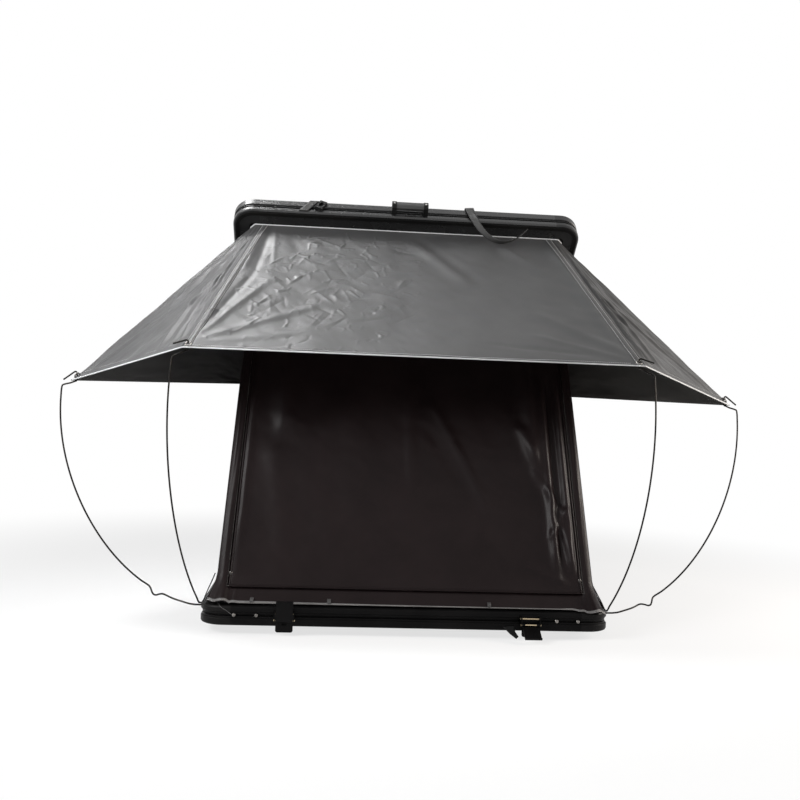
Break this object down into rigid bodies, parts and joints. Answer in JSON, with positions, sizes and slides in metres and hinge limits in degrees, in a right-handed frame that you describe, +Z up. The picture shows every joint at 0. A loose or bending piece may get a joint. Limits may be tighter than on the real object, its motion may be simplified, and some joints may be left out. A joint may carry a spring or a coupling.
{
  "type": "roof top tent",
  "caption": "Hard-shell wedge roof tent, open: shell lid on gas struts, fabric walls, entry end awning on bowed rods, mounting rails beneath.",
  "frame": {"origin": "centre of the plane under the two mounting rails", "axes": "+X to the right seen from the entry end, -Y towards the entry end, +Z up"},
  "size_m": [2.515, 2.2252, 1.5942],
  "materials": {
    "shell_coat": "satin",
    "alu": "satin",
    "rail": "satin",
    "steel": "satin",
    "brass": "satin",
    "rod_steel": "satin",
    "black_plastic": "matte",
    "rubber": "matte",
    "wall_cloth": "matte",
    "awning_cloth": "satin",
    "webbing": "matte",
    "piping": "matte",
    "mattress": "matte",
    "lining": "matte",
    "board": "matte"
  },
  "bodies": {
    "base": {"base_extrusions": "alu", "base_corners": "alu", "floor_panel": "board", "rail_tops": "rail", "rail_sides": "rail", "rail_lips": "rail", "rail_bolts": "steel", "mattress": "mattress", "rod_sockets": "black_plastic", "base_hinge_leaves": "shell_coat", "hinge_pins": "steel", "base_hinge_screws": "steel", "strut_base_brackets": "shell_coat", "latch_brackets": "shell_coat", "latch_pins": "brass", "face_screws": "steel", "wall_track": "alu", "hem_piping": "piping", "front_wall": "wall_cloth", "entry_door": "wall_cloth", "left_wall": "wall_cloth", "right_wall": "wall_cloth", "hem_ties": "piping", "corner_guys": "webbing", "hem_tabs": "piping", "zip_sliders": "steel", "webbing_tail": "webbing"},
    "lid": {"lid_extrusions": "alu", "lid_corners": "alu", "lid_panel": "alu", "lid_lining": "lining", "lid_seal": "rubber", "awning_track": "alu", "handle_lugs": "black_plastic", "handle_grip": "black_plastic", "handle_screws": "steel", "lid_hinge_leaves": "shell_coat", "lid_hinge_screws": "steel", "strut_lid_brackets": "shell_coat", "strap_left": "webbing", "strap_buckle": "black_plastic", "strap_right": "webbing", "strap_anchors": "steel"},
    "awning_front_panel": {"awning_front": "awning_cloth", "eyelets_front": "steel"},
    "awning_left_panel": {"awning_left": "awning_cloth", "eyelet_left": "steel"},
    "awning_right_panel": {"awning_right": "awning_cloth", "eyelet_right": "steel"},
    "front_rod_left": {"rod_front_left": "rod_steel"},
    "front_rod_right": {"rod_front_right": "rod_steel"},
    "side_rod_left": {"rod_side_left": "rod_steel"},
    "side_rod_right": {"rod_side_right": "rod_steel"},
    "tube_left": {"strut_tube_left": "shell_coat"},
    "tube_right": {"strut_tube_right": "shell_coat"},
    "piston_left": {"strut_piston_left": "steel"},
    "piston_right": {"strut_piston_right": "steel"},
    "lever_left": {"latch_lever_left": "shell_coat"},
    "lever_right": {"latch_lever_right": "shell_coat"}
  },
  "joints": [
    {"name": "lid_hinge", "type": "hinge", "parent": "base", "child": "lid", "pos_m": [0, 1.064, 0.098], "axis": [1, 0, 0], "range_deg": [0, 42.6], "deforming": ["front_wall", "entry_door", "left_wall", "right_wall", "hem_ties", "corner_guys", "hem_tabs", "zip_sliders", "strap_left", "strap_right", "awning_front", "eyelets_front", "awning_left", "eyelet_left", "awning_right", "eyelet_right"]},
    {"name": "strut_swing_left", "type": "hinge", "parent": "base", "child": "tube_left", "pos_m": [-0.575, 0.734, 0.084], "axis": [1, 0, 0], "range_deg": [0, 63.63]},
    {"name": "strut_stroke_left", "type": "slide", "parent": "tube_left", "child": "piston_left", "axis": [0, -0.3637, 0.9315], "range_m": [-0.15465, 0]},
    {"name": "strut_swing_right", "type": "hinge", "parent": "base", "child": "tube_right", "pos_m": [0.575, 0.734, 0.084], "axis": [1, 0, 0], "range_deg": [0, 63.63]},
    {"name": "strut_stroke_right", "type": "slide", "parent": "tube_right", "child": "piston_right", "axis": [0, -0.3637, 0.9315], "range_m": [-0.15465, 0]},
    {"name": "awning_front_fold", "type": "hinge", "parent": "lid", "child": "awning_front_panel", "pos_m": [0, -0.43991, 1.48227], "axis": [1, 0, 0], "range_deg": [0, 100.07]},
    {"name": "awning_left_fold", "type": "hinge", "parent": "lid", "child": "awning_left_panel", "pos_m": [-0.63, -0.42666, 1.47009], "axis": [0, -0.7361, 0.6769], "range_deg": [0, 130.83]},
    {"name": "awning_right_fold", "type": "hinge", "parent": "lid", "child": "awning_right_panel", "pos_m": [0.63, -0.42666, 1.47009], "axis": [0, 0.7361, -0.6769], "range_deg": [0, 131.28]},
    {"name": "front_rod_left_swing", "type": "hinge", "parent": "base", "child": "front_rod_left", "pos_m": [-0.69, -0.958, 0.085], "axis": [1, 0, 0], "range_deg": [-97.3, 0]},
    {"name": "side_rod_left_swing", "type": "hinge", "parent": "base", "child": "side_rod_left", "pos_m": [-0.69, -0.99, 0.085], "axis": [1, 0, 0], "range_deg": [-71.1, 0]},
    {"name": "front_rod_right_swing", "type": "hinge", "parent": "base", "child": "front_rod_right", "pos_m": [0.69, -0.958, 0.085], "axis": [1, 0, 0], "range_deg": [-97.3, 0]},
    {"name": "side_rod_right_swing", "type": "hinge", "parent": "base", "child": "side_rod_right", "pos_m": [0.69, -0.99, 0.085], "axis": [1, 0, 0], "range_deg": [-71.1, 0]},
    {"name": "latch_left_lever", "type": "hinge", "parent": "base", "child": "lever_left", "pos_m": [-0.415, -1.067, 0.054], "axis": [1, 0, 0], "range_deg": [0, 145]},
    {"name": "latch_right_lever", "type": "hinge", "parent": "base", "child": "lever_right", "pos_m": [0.415, -1.067, 0.054], "axis": [1, 0, 0], "range_deg": [-122, 23]}
  ],
  "couplings": [
    {"joint": "strut_swing_left", "follows": "lid_hinge", "ratio": 1.4935},
    {"joint": "strut_stroke_left", "follows": "lid_hinge", "m_per_rad": -0.20787},
    {"joint": "strut_swing_right", "follows": "lid_hinge", "ratio": 1.4935},
    {"joint": "strut_stroke_right", "follows": "lid_hinge", "m_per_rad": -0.20787},
    {"joint": "awning_front_fold", "follows": "lid_hinge", "ratio": 2.3467},
    {"joint": "awning_left_fold", "follows": "lid_hinge", "ratio": 3.0688},
    {"joint": "awning_right_fold", "follows": "lid_hinge", "ratio": 3.0793},
    {"joint": "front_rod_left_swing", "follows": "lid_hinge", "ratio": -2.2817},
    {"joint": "side_rod_left_swing", "follows": "lid_hinge", "ratio": -1.6667},
    {"joint": "front_rod_right_swing", "follows": "lid_hinge", "ratio": -2.2817},
    {"joint": "side_rod_right_swing", "follows": "lid_hinge", "ratio": -1.6667}
  ]
}
